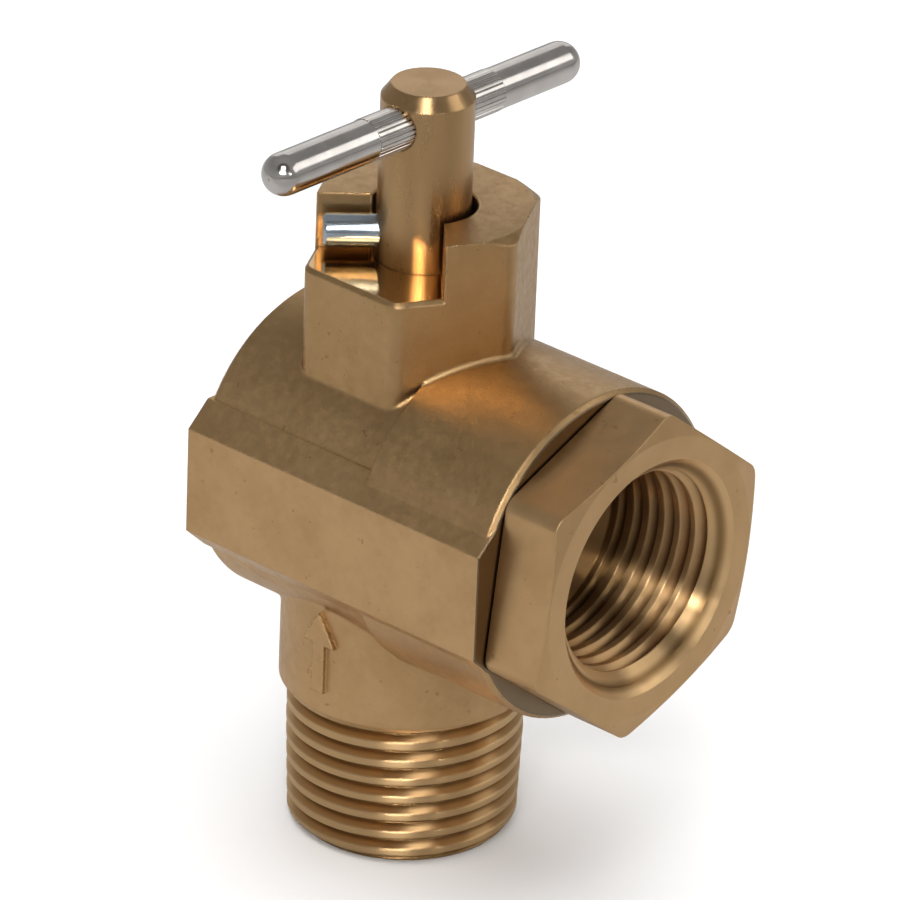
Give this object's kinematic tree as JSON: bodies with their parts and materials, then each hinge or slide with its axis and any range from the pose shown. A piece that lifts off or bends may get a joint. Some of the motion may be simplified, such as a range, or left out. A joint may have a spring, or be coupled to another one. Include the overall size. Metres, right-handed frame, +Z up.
{
  "type": "quarter-turn relief valve",
  "caption": "Angle-pattern brass relief valve with a threaded inlet below, a threaded side outlet, and a tee handle that turns an L-port ball between two stops.",
  "frame": {"origin": "where the stem axis, which is also the inlet pipe's centreline, crosses the outlet's centreline, at the middle of the ball", "axes": "+Z up the stem, away from the inlet thread; +X out of the outlet; +Y completes a right-handed frame"},
  "size_m": [0.041, 0.0389, 0.0717],
  "materials": {
    "cast_brass": "shot-blasted and lightly tumbled, satin",
    "turned_brass": "machined, bright satin",
    "chromed_ball": "polished",
    "nickel_plate": "polished nickel plate",
    "zinc_plate": "bright zinc plate, slightly blue",
    "seat_plastic": "smooth, waxy, off-white",
    "seal_rubber": "matt black"
  },
  "bodies": {
    "body": {"valve_body": "cast_brass", "end_fitting": "turned_brass", "front_seat": "seat_plastic", "rear_seat": "seat_plastic", "body_seal": "seal_rubber", "thrust_washer": "seat_plastic"},
    "stem": {"stem": "turned_brass", "tee_bar": "nickel_plate", "stop_pin": "zinc_plate", "lower_stem_ring": "seal_rubber", "upper_stem_ring": "seal_rubber"},
    "ball": {"ball": "chromed_ball"}
  },
  "joints": [
    {"name": "stem_turn", "type": "hinge", "parent": "body", "child": "stem", "pos_m": [0, 0, 0], "axis": [0, 0, 1], "range_deg": [0, 90]},
    {"name": "ball_turn", "type": "hinge", "parent": "body", "child": "ball", "pos_m": [0, 0, 0], "axis": [0, 0, 1], "range_deg": [0, 90]}
  ],
  "couplings": [
    {"joint": "ball_turn", "follows": "stem_turn", "ratio": 1}
  ]
}
